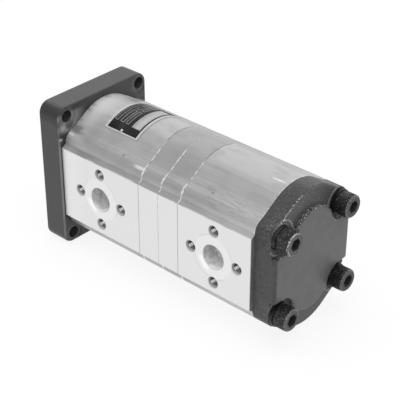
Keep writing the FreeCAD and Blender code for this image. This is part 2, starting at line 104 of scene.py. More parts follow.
def finish_of(name):
    """A new material, its empty tree and the place on the pump in millimetres."""
    material = bpy.data.materials.new(name)
    material.use_nodes = True
    tree = material.node_tree
    tree.nodes.clear()
    place = add(tree, "TexCoord", out="Object")
    return material, tree, add(tree, "VectorMath", {0: place, "Scale": 1 / MM}, operation="SCALE")


def shaded(tree, colour, relief, **sockets):
    """The finished surface: relief is a row of heights with their depths in millimetres."""
    inputs = {"Base Color": colour}
    for height, depth in relief:
        bump = {"Height": height, "Distance": depth * MM}
        if "Normal" in inputs:
            bump["Normal"] = inputs["Normal"]
        inputs["Normal"] = add(tree, "Bump", bump)
    for key, value in sockets.items():
        inputs[key.replace("_", " ")] = value
    add(tree, "OutputMaterial", {"Surface": add(tree, "BsdfPrincipled", inputs)})


def layered(tree, base, layers):
    """Lays colours over a base. Each is (colour, share, fades), and is as dense as its share where
    all its fades, each (value, start, end), have gone from start to end."""
    base = linear(base) if isinstance(base, str) else base
    for colour, share, *fades in layers:
        cover = share
        for value, start, end in fades:
            limits = {"Value": value, "From Min": start, "From Max": end}
            fade = add(tree, "MapRange", limits, interpolation_type="SMOOTHSTEP")
            cover = add(tree, "Math", {0: cover, 1: fade}, operation="MULTIPLY")
        colour = linear(colour) if isinstance(colour, str) else colour
        base = add(tree, "Mix", {0: cover, 6: base, 7: colour}, out=2, data_type="RGBA")
    return base


def grain(tree, place, size_mm, detail=3.0, stretch=(1, 1, 1)):
    """Noise whose lumps are about size_mm across, drawn out along any stretched axis."""
    lumps_per_mm = [1 / (size_mm * s) for s in stretch]
    squeezed = add(tree, "VectorMath", {0: place, 1: lumps_per_mm}, operation="MULTIPLY")
    look = {"Vector": squeezed, "Scale": 1.0, "Detail": detail, "Roughness": 0.5}
    return add(tree, "TexNoise", look)


def folded(tree, place, middle, spread=(0, 0, 0)):
    """The place mirrored about middle on to one quarter, and measured from spread there."""
    centred = add(tree, "VectorMath", {0: place, 1: middle}, operation="SUBTRACT")
    quarter = add(tree, "VectorMath", {0: centred}, operation="ABSOLUTE")
    return add(tree, "VectorMath", {0: quarter, 1: spread}, operation="SUBTRACT")


def distance(tree, offset, keep=(1, 1, 1)):
    """How far the offset reaches; a direction counts less, or not at all, as keep has it."""
    kept = add(tree, "VectorMath", {0: offset, 1: keep}, operation="MULTIPLY")
    return add(tree, "VectorMath", {0: kept}, out="Value", operation="LENGTH")


def from_spot(tree, place, spot, keep=(1, 1, 1)):
    """How far the place is from one spot on the pump."""
    return distance(tree, folded(tree, place, spot), keep)


def from_bolt_axis(tree, place, middle_z, spread, rise):
    """How far the place is from the nearest axis of four bolts or holes that run along the pump."""
    return distance(tree, folded(tree, place, (0, 0, middle_z), (0, spread, rise)), (0, 1, 1))


# Satin grey enamel sprayed on sand-cast iron: an even soft sheen over a faintly lumpy skin. The
# face behind is painted paler as painted light, with a painted reflection towards the suction side,
# and painted shade above the body, in the hollow beside it and right by the body. Low by the
# suction side's edge it has a painted reflection and a painted glint. It is rubbed near that edge
# and round the holes, where nuts sat. The upper corner of that side has painted shade where it
# rounds over
def flange_enamel():
    material, tree, place = finish_of("satin_grey_enamel_on_cast_iron")
    x, y, z = add(tree, "SeparateXYZ", {0: place}).node.outputs
    patches = grain(tree, place, 14.0)
    skin = grain(tree, place, 4.0, 4.0)
    orange_peel = grain(tree, place, 0.7, 2.0)
    from_hole = from_bolt_axis(tree, place, FLANGE_HOLES_Z, FLANGE_HOLE_SPREAD, FLANGE_HOLE_RISE)
    rub_up = from_spot(tree, place, (FLANGE_REAR_X, -42.8, 25.5))
    rub_low = from_spot(tree, place, (FLANGE_REAR_X, -43.6, 15.5))
    reflection_spot = from_spot(tree, place, (FLANGE_REAR_X, -40.4, 26.0), (0, 1, 0.7))
    shade_by_body = from_spot(tree, place, (FLANGE_REAR_X, -33.6, 25.6), (0, 1, 1))
    glint_spot = from_spot(tree, place, (FLANGE_REAR_X, -42.9, 16.4), (0, 0.7, 1))
    behind = (x, FLANGE_REAR_X - 0.9, FLANGE_REAR_X - 0.2)
    before = (x, FLANGE_REAR_X - 0.2, FLANGE_REAR_X - 0.9)
    colour = layered(tree, "#3f3f3f", [
        ("#4b4b4b", 1.0, (patches, 0.36, 0.62)),
        ("#444444", 0.6, (skin, 0.40, 0.60)),
        # The face behind is painted paler as painted light, with painted shade above the body
        ("#606060", 0.9, behind),
        ("#353535", 1.0, behind, (z, 14.0, 27.0)),
        # Painted reflection towards the suction side; painted shade in the hollow and right by the
        # body
        ("#949494", 0.9, behind, (y, -16.0, -33.0), (z, 37.0, 33.0), (patches, 0.20, 0.50)),
        ("#2c2c2c", 0.9, behind, (y, -44.0, -42.6), (z, 22.5, 19.0)),
        ("#3c3c3c", 0.7, behind, (shade_by_body, 4.6, 2.4)),
        # A painted reflection and a painted glint low by the suction side's edge
        ("#bcbcbc", 0.65, behind, (reflection_spot, 3.6, 1.4), (patches, 0.26, 0.46)),
        ("#d0d0d0", 0.9, behind, (glint_spot, 1.7, 0.5)),
        # Painted shade on the upper corner where it rounds over
        ("#242424", 1.0, before, (y, -38.0, -41.5), (z, 26.0, 31.0)),
        ("#808080", 0.25, behind, (from_hole, 8.4, 6.8), (skin, 0.38, 0.56)),
        ("#777777", 0.6, (rub_up, 2.4, 0.8), (orange_peel, 0.35, 0.6)),
        ("#6c6c6c", 0.6, (rub_low, 2.6, 0.8), (orange_peel, 0.35, 0.6)),
    ])
    rough = layered(tree, grey(0.36), [(grey(0.48), 1.0, (patches, 0.30, 0.70))])
    shaded(tree, colour, [(skin, 0.05), (orange_peel, 0.010)], Roughness=rough)
    return material


# Grey enamel on a rough casting: the raised pad was ground flat first and looks smooth and paler.
# The ledges and sides keep the sand's grain, with painted shade towards the top and painted light
# low down, and painted glints on the grit of the pad's wall, along the ledge's edge and round the
# bolt pockets
def cover_enamel():
    material, tree, place = finish_of("grey_enamel_on_rough_casting")
    x, y, z = add(tree, "SeparateXYZ", {0: place}).node.outputs
    patches = grain(tree, place, 9.0)
    sand = grain(tree, place, 1.6, 4.0)
    grit = grain(tree, place, 0.8, 2.0)
    from_bolt = from_bolt_axis(tree, place, Z_MID, BOLT_SPREAD, BOLT_RISE)
    rubbed = from_spot(tree, place, (203.5, 4.0, 33.5), (0.45, 1, 1))
    pad = (x, COVER_PAD_X - 0.25, COVER_PAD_X - 0.05)
    clear_of_side = (y, -37.0, -34.0)
    on_ledge = [(x, COVER_LEDGE_X - 0.5, COVER_LEDGE_X - 0.1),
                (x, COVER_LEDGE_X + 0.6, COVER_LEDGE_X + 0.2)]
    ledge_edge = [(x, COVER_LEDGE_X - 0.9, COVER_LEDGE_X - 0.6),
                  (x, COVER_LEDGE_X - 0.05, COVER_LEDGE_X - 0.2)]
    pad_wall = [(x, COVER_LEDGE_X + 0.2, COVER_LEDGE_X + 0.7),
                (x, COVER_PAD_X - 0.02, COVER_PAD_X - 0.2)]
    up_to_pad = [(x, COVER_LEDGE_X - 0.4, COVER_LEDGE_X - 0.1),
                 (x, COVER_PAD_X - 0.4, COVER_PAD_X - 0.6)]
    pocket_rim = [(x, COVER_LEDGE_X - 1.2, COVER_LEDGE_X - 0.6),
                  (from_bolt, 12.8, 12.2), (from_bolt, 11.2, 11.8)]
    round_pocket = [(from_bolt, 16.0, 13.0), (x, 198.0, 202.0),
                    (x, COVER_LEDGE_X, COVER_LEDGE_X - 0.4)]
    colour = layered(tree, "#3d3d3d", [
        ("#484848", 1.0, (patches, 0.36, 0.62)),
        # Painted shade towards the top and painted light low down
        ("#303030", 0.7, (z, 2.0, 22.0)),
        ("#505050", 0.7, (z, 6.0, -8.0)),
        ("#565656", 0.4, (sand, 0.52, 0.64)),
        ("#242424", 0.6, (sand, 0.44, 0.36)),
        ("#565656", 0.6, (rubbed, 9.0, 3.0), (sand, 0.35, 0.6)),
        ("#505050", 0.8, *on_ledge),
        ("#606060", 1.0, pad),
        ("#595959", 0.8, pad, (patches, 0.45, 0.62)),
        # Painted glints on the grit of the pad's wall, along the ledge's edge and round the bolt
        # pockets
        ("#d0d0d0", 0.9, *pad_wall, clear_of_side, (grit, 0.56, 0.63)),
        ("#c4c4c4", 0.8, *ledge_edge, clear_of_side, (y, -6.0, -14.0), (sand, 0.42, 0.54),
         (grit, 0.42, 0.58)),
        ("#9c9c9c", 0.7, *up_to_pad, (z, 6.0, 12.0), (grit, 0.62, 0.68)),
        ("#c8c8c8", 0.9, *pocket_rim, (grit, 0.46, 0.56)),
        ("#a0a0a0", 0.5, *round_pocket, (grit, 0.60, 0.66)),
    ])
    rough = layered(tree, grey(0.46), [
        (grey(0.34), 1.0, pad),
        (grey(0.30), 0.8, (grit, 0.58, 0.66)),
    ])
    shaded(tree, colour, [(sand, 0.10), (grit, 0.04)], Roughness=rough)
    return material


# Black oxide on alloy steel: near black and faintly metallic with a film of oil. The heads' faces
# are greyer, less so on the pressure side, the lower two are darker round the socket, and the
# sockets' walls are painted paler as painted light. Painted glints on tips of the knurl at the
# face's rim and near the washer, most on the upper suction side
def black_oxide():
    material, tree, place = finish_of("black_oxide_on_steel")
    x, y, z = add(tree, "SeparateXYZ", {0: place}).node.outputs
    patches = grain(tree, place, 3.0)
    pits = grain(tree, place, 0.5)
    glint = grain(tree, place, 0.6, 1.0)
    from_bolt = from_bolt_axis(tree, place, Z_MID, BOLT_SPREAD, BOLT_RISE)
    face = (x, HEAD_END_X - 0.3, HEAD_END_X - 0.1)
    in_socket = [(from_bolt, 4.9, 4.6), (x, HEAD_END_X - 0.1, HEAD_END_X - 0.3)]
    rim = [(x, HEAD_END_X - 1.1, HEAD_END_X - 0.8), (from_bolt, 7.0, 7.3)]
    tips = (from_bolt, 7.9, 8.0)
    off_washer = (x, HEAD_START_X - 0.2, HEAD_START_X + 0.4)
    near_washer = (x, HEAD_START_X + 2.4, HEAD_START_X + 1.0)
    before_rim = (x, HEAD_END_X - 1.2, HEAD_END_X - 1.6)
    colour = layered(tree, "#181818", [
        ("#2c2c2c", 1.0, (patches, 0.38, 0.62)),
        ("#444444", 0.6, (pits, 0.54, 0.64)),
        # Painted light on the sockets' walls
        ("#545454", 1.0, *in_socket),
        ("#5a5a5a", 1.0, face),
        ("#444444", 0.7, face, (patches, 0.45, 0.60)),
        ("#3e3e3e", 0.8, face, (y, -10.0, 10.0)),
        ("#262626", 0.7, face, (from_bolt, 5.6, 5.0), (z, 0.0, -20.0)),
        # Painted glints on the knurl's tips at the face's rim and along the band
        ("#949494", 0.8, *rim, (glint, 0.42, 0.58)),
        ("#e4e4e4", 0.9, *rim, (glint, 0.50, 0.60), (y, 10.0, -10.0), (z, -30.0, 0.0)),
        ("#b4b4b4", 0.8, off_washer, before_rim, tips, (glint, 0.66, 0.70)),
        ("#8c8c8c", 0.8, off_washer, near_washer, tips, (glint, 0.62, 0.68)),
    ])
    shaded(tree, colour, [(pits, 0.012)], Metallic=0.5, Roughness=0.42)
    return material


# Ground or turned steel: bright, with fine lines round the axis of turning; real lines are finer
# than the render can show and are drawn half a millimetre apart
def turned_steel(name, dark, light, roughness):
    material, tree, place = finish_of(name)
    lines = grain(tree, place, 0.5, 2.0, (1, 40, 40))
    patches = grain(tree, place, 9.0)
    colour = layered(tree, dark, [
        (light, 0.8, (lines, 0.38, 0.62)),
        (light, 0.5, (patches, 0.45, 0.65)),
    ])
    shaded(tree, colour, [(lines, 0.006)], Metallic=1.0, Roughness=roughness)
    return material


def from_ports(tree, place, x):
    """The place measured from the axis of the nearer port."""
    front_x, rear_x = PORTS_X
    in_rear = add(tree, "Math", {0: x, 1: (front_x + rear_x) / 2}, operation="GREATER_THAN")
    to_front = {0: in_rear, 1: (front_x - rear_x, 0, 0), 2: place}
    moved = add(tree, "VectorMath", to_front, operation="MULTIPLY_ADD")
    return add(tree, "VectorMath", {0: moved, 1: (front_x, 0, Z_MID)}, operation="SUBTRACT")


def facing(tree, offset, degrees):
    """How nearly an offset points one way round a port's or hole's axis, 1 where it does."""
    a = math.radians(degrees)
    way = (math.cos(a), 0, math.sin(a))
    flat = add(tree, "VectorMath", {0: offset, 1: (1, 0, 1)}, operation="MULTIPLY")
    unit = add(tree, "VectorMath", {0: flat}, operation="NORMALIZE")
    return add(tree, "VectorMath", {0: unit, 1: way}, out="Value", operation="DOT_PRODUCT")


# Aluminium extrusion: soft grey die skin with faint lines along the pump, painted palest on the
# crests as painted light, with painted shade, reflections and highlights in places; milled port
# faces, nearly white with a soft sheen; drilled bores that scatter the light, their walls painted
# white as painted light; painted highlights on the broken edges at the joints
def body_aluminium():
    material, tree, place = finish_of("extruded_aluminium")
    quarter = add(tree, "SeparateXYZ", {0: folded(tree, place, (0, 0, Z_MID))})
    x, side, height = quarter.node.outputs
    die_lines = grain(tree, place, 0.8, 3.0, (150, 1, 1))
    streaks = grain(tree, place, 4.0, 2.0, (30, 1, 1))
    marks = grain(tree, place, 1.6, 4.0, (6, 1, 1))
    stains = grain(tree, place, 9.0, 3.0, (1.8, 1, 1))
    reflection_patches = grain(tree, place, 3.0, 2.0, (2.5, 1, 1))
    milling = grain(tree, place, 0.6, 2.0, (1, 1, 60))
    reflections = grain(tree, place, 4.0, 1.0)
    lumps = grain(tree, place, 1.1, 1.0)
    edge_glints = grain(tree, place, 0.7, 1.0)
    port_offset = from_ports(tree, place, x)
    from_port = distance(tree, port_offset, (1, 0, 1))
    port_x = distance(tree, port_offset, (1, 0, 0))
    low_in_front = facing(tree, port_offset, 222)
    dent_one = from_spot(tree, place, (72.5, -33.5, 21.1))
    dent_two = from_spot(tree, place, (151.5, -30.9, 22.2))
    gleam = from_spot(tree, place, (90.6, -36.1, 19.2), (0.25, 1, 1))
    gleam_front = from_spot(tree, place, (22.4, -35.1, 19.4), (0.4, 1, 1))
    streak = from_spot(tree, place, (186.0, -6.1, 34.7), (0.12, 1, 1))
    on_face = (side, PORT_FACE_Y - 0.25, PORT_FACE_Y - 0.05)
    below_face = (side, PORT_FACE_Y - 0.1, PORT_FACE_Y - 0.4)
    face_edge = (side, PORT_FACE_Y - 0.9, PORT_FACE_Y - 0.4)
    above_shoulder = (height, 33.0, 34.5)

    # The die skin, by height over the middle of the section: the crest ends at about 47, the flank
    # at 40, the hollow at 38 and the shoulder at 30. The crests are painted paler as painted light
    # and the shoulders and ledges darker as painted shade
    colour = layered(tree, "#bababa", [
        ("#c2c2c2", 1.0, (die_lines, 0.36, 0.64)),
        ("#b0b0b0", 0.4, (streaks, 0.45, 0.65)),
        # Painted light on the crests and painted shade below the hollow
        ("#d0d0d0", 0.80, (height, 48.6, 51.4)),
        ("#a8a8a8", 0.35, (height, 38.6, 37.2)),
        ("#a8a8a8", 0.25, (stains, 0.50, 0.66)),
        ("#a6a6a6", 0.50, (x, 94.3, 94.9), (x, 131.1, 130.5), (height, 38.0, 41.0)),
        ("#d8d8d8", 0.38, (x, 131.0, 186.0), (height, 45.0, 40.0)),
        ("#9a9a9a", 0.30, (x, 131.0, 140.0), (marks, 0.50, 0.62), above_shoulder,
         (height, 42.5, 40.5)),
        ("#9a9a9a", 0.12, (marks, 0.52, 0.62), above_shoulder, (height, 46.0, 41.0)),
        # Painted light on the skin beside the flange, with painted dark reflections of the flange
        ("#c8c8c8", 0.85, (x, 44.0, 26.0), (height, 34.0, 36.0)),
        ("#7a7a7a", 0.80, (x, 38.0, 23.0), (reflection_patches, 0.30, 0.56), (height, 43.0, 40.5),
         (height, 37.8, 38.6)),
        # Painted shade on the ledges above the port faces
        ("#969696", 0.50, (x, 62.0, 34.0), (height, 31.4, 29.6)),
        ("#a8a8a8", 0.40, (x, 131.0, 126.0), (height, 31.0, 29.4)),
        ("#7c7c7c", 0.60, (dent_one, 1.5, 0.6)),
        ("#7c7c7c", 0.60, (dent_two, 1.3, 0.5)),
        # Painted highlights on the flanks, and a white streak along the rear crest
        ("#f8f8f8", 0.85, (gleam, 2.0, 0.5)),
        ("#f8f8f8", 0.90, (gleam_front, 1.7, 0.5)),
        ("#ffffff", 0.80, (streak, 0.9, 0.3)),
        # Painted dark reflections of the flange on the crest beside it
        ("#808080", 0.50, (x, 26.0, 20.0), (reflection_patches, 0.44, 0.60), (height, 42.0, 44.0)),
        ("#3a3a3a", 0.70, (x, 19.9, 19.4), below_face, (height, 50.4, 49.6)),
    ])

    # The milled port face, with a ring that a gasket left, a painted highlight low on each bore's
    # rim on the flange's side, painted highlights where the face rounds over, and painted light
    # near the flange
    gasket_ring = [(from_port, 15.9, 16.5), (from_port, 17.3, 16.7)]
    bore_rim = [(from_port, 13.6, 12.6), (from_port, 9.2, 10.0)]
    colour = layered(tree, colour, [
        ("#ebebeb", 1.0, on_face),
        # Painted light near the flange
        ("#f2f2f2", 1.0, on_face, (x, 46.0, 22.0)),
        ("#e3e3e3", 0.15, on_face, (milling, 0.42, 0.62)),
        ("#f4f4f4", 0.6, on_face, (from_port, 16.4, 15.2)),
        ("#d2d2d2", 0.5, on_face, *gasket_ring, (stains, 0.42, 0.52)),
        # Painted highlights on the bores' rims and where the face rounds over
        ("#ffffff", 1.0, on_face, *bore_rim, (low_in_front, 0.84, 0.95)),
        ("#f0f0f0", 0.7, face_edge, (height, 27.2, 27.6), (stains, 0.46, 0.56)),
    ])

    # Each joint's broken edges: painted highlights in places on the die skin, painted shade over
    # the crests and at the flanks' foot, and a fine grey line on the port faces, faint where the
    # two plates meet
    for seam_x, share, on_port_face in zip(SEAMS_X, (1.0, 0.6, 1.0), (1.0, 0.25, 1.0)):
        near = from_spot(tree, place, (seam_x, 0, 0), (1, 0, 0))
        groove = (near, 0.38, 0.27)
        colour = layered(tree, colour, [
            ("#c4c4c4", 1.0, groove, below_face),
            ("#ffffff", 1.0, groove, below_face, (reflection_patches, 0.36, 0.54)),
            ("#6e6e6e", 0.8 * share, groove, (height, 48.6, 50.2)),
            ("#767676", 0.6 * share, groove, (height, 38.6, 39.2), (height, 41.0, 40.2)),
            ("#ffffff", 0.9, (near, 1.3, 0.6), below_face, (height, 38.4, 37.4), above_shoulder,
             (lumps, 0.46, 0.56)),
            ("#bcbcbc", on_port_face, groove, (side, PORT_FACE_Y - 0.4, PORT_FACE_Y - 0.2)),
        ])

    # Painted glints where the rear body's edge meets the cover
    at_cover = (x, BODY_END_X - 1.0, BODY_END_X - 0.5)
    colour = layered(tree, colour, [
        ("#ffffff", 0.9, at_cover, (height, 29.0, 30.5), (edge_glints, 0.50, 0.60)),
    ])

    # Bores and the mouths of the tapped holes: drilled walls scatter the light that enters them,
    # and are painted white as painted light, with painted reflections and highlights, greyer
    # towards the tapped holes
    in_reach = (HOLES_REACH + 0.4, HOLES_REACH)
    drilled = [(side, PORT_FACE_Y - 0.15, PORT_FACE_Y - 0.45), (height, *in_reach),
               (port_x, *in_reach)]
    colour = layered(tree, colour, [
        ("#ffffff", 1.0, *drilled),
        ("#dadada", 0.8, *drilled, (reflections, 0.44, 0.60)),
        ("#ffffff", 1.0, *drilled, (lumps, 0.60, 0.66)),
        ("#a6a6a6", 0.8, *drilled, (from_port, 12.0, 13.0)),
    ])

    # The skin beside the flange is duller and scatters part of the light too
    metal = layered(tree, grey(1.0), [
        (grey(0.0), 1.0, *drilled),
        (grey(0.35), 1.0, (x, 40.0, 22.0), below_face),
    ])
    rough = layered(tree, grey(0.42), [
        (grey(0.50), 1.0, (stains, 0.36, 0.64)),
        (grey(0.50), 1.0, on_face),
    ])
    shaded(tree, colour, [(die_lines, 0.010)], Metallic=metal, Roughness=rough)
    return material


# Threads cut by a tap: dull grey flanks, with painted shade on one side of each hole and a painted
# highlight along the other
def tapped_aluminium(circle_r):
    material, tree, place = finish_of("tapped_aluminium")
    x = add(tree, "SeparateXYZ", {0: place})
    half = circle_r / 2
    high, low = (half, PORT_FACE_Y * 2, half), (-half, -PORT_FACE_Y * 2, -half)
    repeated = {0: from_ports(tree, place, x), 1: high, 2: low}
    offset = add(tree, "VectorMath", repeated, operation="WRAP")
    tool_marks = grain(tree, place, 0.5)
    colour = layered(tree, "#787878", [
        ("#929292", 1.0, (tool_marks, 0.40, 0.60)),
        # Painted shade on one side of each hole and a painted highlight on the other
        ("#4c4c4c", 0.9, (facing(tree, offset, 150), 0.55, 0.90)),
        ("#ffffff", 1.0, (facing(tree, offset, 214), 0.94, 0.975)),
    ])
    shaded(tree, colour, [(tool_marks, 0.01)], Metallic=1.0, Roughness=0.2)
    return material


# Plain finishes of the hidden and small pieces: two tones in soft mottle, and a slight relief
def plain_finish(name, dark, light, grain_mm, depth, **sockets):
    material, tree, place = finish_of(name)
    mottle = grain(tree, place, grain_mm)
    colour = layered(tree, dark, [(light, 1.0, (mottle, 0.32, 0.68))])
    shaded(tree, colour, [(mottle, depth)], **sockets)
    return material


flange_paint = flange_enamel()
cover_paint = cover_enamel()
aluminium = body_aluminium()
oxide = black_oxide()
suction_taps = tapped_aluminium(SUCTION_HOLES[0])
pressure_taps = tapped_aluminium(PRESSURE_HOLES[0])
steel = turned_steel("ground_bearing_steel", "#9c9c9c", "#c4c4c4", 0.28)
zinc = turned_steel("zinc_plated_steel", "#8c8c8c", "#adadad", 0.34)
bearing = plain_finish("pressure_cast_bearing_aluminium", "#a2a2a2", "#bcbcbc", 1.2, 0.01,
                       Metallic=1.0, Roughness=0.45)
bronze = plain_finish("lined_bronze_bush", "#9a7a45", "#b08d55", 1.0, 0.005,
                      Metallic=1.0, Roughness=0.4)
rubber = plain_finish("nitrile_rubber", "#161616", "#232323", 0.8, 0.01, Roughness=0.55)
pin = plain_finish("bright_drive_pin", "#b8b8b8", "#d0d0d0", 0.6, 0.004,
                   Metallic=0.3, Roughness=0.35)
sheet = plain_finish("rolled_aluminium_sheet", "#c8c8c8", "#dedede", 1.5, 0.004,
                     Metallic=1.0, Roughness=0.36)
black_print = plain_finish("black_anodised_print", "#0f0f0f", "#191919", 2.0, 0.004,
                           Roughness=0.42, Specular_IOR_Level=0.3)
bare_print = plain_finish("bare_etched_aluminium", "#aeaeae", "#c0c0c0", 0.8, 0.004,
                          Metallic=0.6, Roughness=0.45)

finishes = {
    flange_paint: ["front_flange"],
    cover_paint: ["rear_cover"],
    aluminium: ["front_body", "front_intermediate_plate", "rear_intermediate_plate", "rear_body"],
    oxide: ["tie_bolts", "tie_bolt_washers", "shaft_seal_snap_ring"],
    steel: ["front_drive_gear", "rear_drive_gear", "front_driven_gear", "rear_driven_gear",
            "coupling_sleeve", "dowel_pins", "shaft_key"],
    zinc: ["shaft_nut", "shaft_lock_washer"],
    pin: ["nameplate_pins"],
    sheet: ["nameplate"],
    bearing: [n for n in nodes if n.endswith("_block")],
    bronze: [n for n in nodes if n.endswith("_bushes")],
    rubber: [n for n in nodes if n.endswith("_seal")],
}
for finish, names in finishes.items():
    for name in names:
        slots = nodes[name].material_slots
        for slot in slots:
            slot.material = finish
        if not slots:
            nodes[name].data.materials.append(finish)


def new_piece(name, mesh_builder, material, body, smooth=True):
    """A finished mesh piece that rides on a body of the pump."""
    mesh = bpy.data.meshes.new(name)
    bm = bmesh.new()
    mesh_builder(bm)
    bmesh.ops.recalc_face_normals(bm, faces=bm.faces)
    bm.to_mesh(mesh)
    bm.free()
    for polygon in mesh.polygons:
        polygon.use_smooth = smooth
    piece = bpy.data.objects.new(name, mesh)
    bpy.context.scene.collection.objects.link(piece)
    mesh.materials.append(material)
    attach(piece, body)


def bridge(bm, one, other):
    """Faces between two loops of as many points."""
    for k in range(len(one)):
        bm.faces.new((one[k - 1], one[k], other[k], other[k - 1]))


# Knurled bands round the tie bolt heads; the band's edges sink into the head
KNURL_RIDGES = 56
KNURL_START = 1.2
KNURL_END = 8.8
KNURL_EASE = 0.5
KNURL_VALLEY = 0.01
KNURL_TIP = 0.16
KNURL_SUNK = -0.1
KNURL_ROOT = -0.5


def knurled_bands(bm):
    stations = [
        (KNURL_START, KNURL_SUNK, KNURL_SUNK),
        (KNURL_START + KNURL_EASE, KNURL_VALLEY, KNURL_TIP),
        (KNURL_END - KNURL_EASE, KNURL_VALLEY, KNURL_TIP),
        (KNURL_END, KNURL_SUNK, KNURL_SUNK),
        (KNURL_END, KNURL_ROOT, KNURL_ROOT),
        (KNURL_START, KNURL_ROOT, KNURL_ROOT),
    ]
    for y in (-BOLT_SPREAD, BOLT_SPREAD):
        for z in (Z_MID - BOLT_RISE, Z_MID + BOLT_RISE):
            rings = []
            for x, valley, tip in stations:
                ring = []
                for k in range(2 * KNURL_RIDGES):
                    a = math.pi * k / KNURL_RIDGES
                    r = HEAD_R + (tip if k % 2 else valley)
                    point = Vector((HEAD_START_X + x, y + r * math.cos(a), z + r * math.sin(a)))
                    ring.append(bm.verts.new(point * MM))
                rings.append(ring)
            for one, other in zip(rings, rings[1:] + rings[:1]):
                bridge(bm, one, other)


new_piece("tie_bolt_head_knurls", knurled_bands, oxide, "housing",
          smooth=False)

# Screw threads: a ridge that winds along a hole's wall or a stud. Its foot and crest reach so many
# pitches to either side, and in a hole it is sunk so far into the wall and rises so far from it
THREAD_STEPS = 24
THREAD_FOOT = 0.48
THREAD_CREST = 0.12
THREAD_START = 0.6
THREAD_SUNK = 0.03
THREAD_RISE = 0.36
STUD_THREAD_X = (-39.2, -35.0)
STUD_ROOT_R = 5.97
STUD_TIP_R = 6.15
STUD_PITCH = 1.25


def wind_ridge(bm, place_at, start, end, root_r, tip_r, pitch):
    """A ridge from start to end; place_at(angle, radius, along) gives a point of the thread."""
    corners = ((root_r, -THREAD_FOOT), (tip_r, -THREAD_CREST), (root_r, THREAD_FOOT))
    sections = []
    for k in range(int((end - start) / pitch * THREAD_STEPS) + 1):
        a = 2 * math.pi * k / THREAD_STEPS
        along = start + pitch * k / THREAD_STEPS
        points = [place_at(a, r, along + pitch * shift) for r, shift in corners]
        sections.append([bm.verts.new(point * MM) for point in points])
    for one, other in zip(sections, sections[1:]):
        bridge(bm, one, other)
    bm.faces.new(sections[0])
    bm.faces.new(sections[-1])


def hole_threads(side, holes):
    """The threads of all tapped holes on one side of the pump."""
    circle_r, drill_r, lead_in, depth, pitch = holes

    def build(bm):
        for port_x in PORTS_X:
            for dx, dz in ((1, 0), (0, 1), (-1, 0), (0, -1)):
                hole_x, hole_z = port_x + circle_r * dx, Z_MID + circle_r * dz

                def place_at(a, r, along):
                    return Vector((hole_x + r * math.cos(a), side * (PORT_FACE_Y - along),
                                   hole_z + r * math.sin(a)))

                wind_ridge(bm, place_at, lead_in + THREAD_START, depth, drill_r + THREAD_SUNK,
                           drill_r - THREAD_RISE, pitch)
    return build


def shaft_threads(bm):
    def place_at(a, r, along):
        return Vector((along, r * math.cos(a), r * math.sin(a)))

    wind_ridge(bm, place_at, *STUD_THREAD_X, STUD_ROOT_R, STUD_TIP_R, STUD_PITCH)


for name, side, holes, finish in (("suction_hole_threads", -1, SUCTION_HOLES, suction_taps),
                                  ("pressure_hole_threads", 1, PRESSURE_HOLES, pressure_taps)):
    new_piece(name, hole_threads(side, holes), finish, "housing", smooth=False)
new_piece("shaft_end_thread", shaft_threads, steel, "drive_train", smooth=False)

# Nameplate print: a black field inside a bright border, a bare field and ruled empty boxes
PLATE_X = (42.6, 74.0)
PLATE_HALF_W = 23.7
PLATE_OUTER_R = 35.7
FLANK_ANGLE = math.radians(57.99)
PLATE_ARC_L = (math.pi / 2 - FLANK_ANGLE) * PLATE_OUTER_R
END_BORDER = 2.0
EDGE_BORDER = 1.1
PRINT_T = 0.03
PRINT_SUNK = 0.02
LINE_T = 0.01
BARE_X = (62.7, 70.7)
BARE_ALONG = (-15.0, 16.3)
BOX_ROWS = ((45.7, 48.5), (50.9, 54.3), (56.1, 58.9))
BOX_ENDS = ((-15.9, -1.2), (0.6, 15.3))
BOX_LINE = 0.32


def over_crest(x, along, lift):
    """A point over the plate: along runs down from the crest, positive on the suction side."""
    past = max(abs(along) - PLATE_ARC_L, 0)
    a = max(math.pi / 2 - abs(along) / PLATE_OUTER_R, FLANK_ANGLE)
    r = PLATE_OUTER_R + lift
    y, z = r * math.cos(a) + past * math.sin(a), r * math.sin(a) - past * math.cos(a)
    return Vector((x, -math.copysign(y, along), z)) * MM


def crest_patch(bm, x0, x1, start, end, lift, thick):
    """A thin slab that follows the plate from start to end along its curve."""
    steps = max(2, int(abs(end - start)))
    sections = []
    for k in range(steps + 1):
        along = start + (end - start) * k / steps
        corners = ((x0, lift), (x1, lift), (x1, lift + thick), (x0, lift + thick))
        sections.append([bm.verts.new(over_crest(x, along, rise)) for x, rise in corners])
    for one, other in zip(sections, sections[1:]):
        bridge(bm, one, other)
    bm.faces.new(sections[0])
    bm.faces.new(sections[-1])


def black_field(bm):
    edge = PLATE_HALF_W - EDGE_BORDER
    crest_patch(bm, PLATE_X[0] + END_BORDER, PLATE_X[1] - END_BORDER, -edge, edge, -PRINT_SUNK,
                PRINT_T + PRINT_SUNK)


def bare_patch(bm):
    crest_patch(bm, *BARE_X, *BARE_ALONG, PRINT_T - LINE_T, PRINT_T)


def ruled_boxes(bm):
    lift = PRINT_T - LINE_T
    for x0, x1 in BOX_ROWS:
        for start, end in BOX_ENDS:
            crest_patch(bm, x0, x0 + BOX_LINE, start, end, lift, PRINT_T)
            crest_patch(bm, x1 - BOX_LINE, x1, start, end, lift, PRINT_T)
            crest_patch(bm, x0 + BOX_LINE, x1 - BOX_LINE, start, start + BOX_LINE, lift, PRINT_T)
            crest_patch(bm, x0 + BOX_LINE, x1 - BOX_LINE, end - BOX_LINE, end, lift, PRINT_T)


new_piece("nameplate_black_field", black_field, black_print, "housing")
new_piece("nameplate_bare_field", bare_patch, bare_print, "housing")
new_piece("nameplate_ruled_boxes", ruled_boxes, bare_print, "housing")

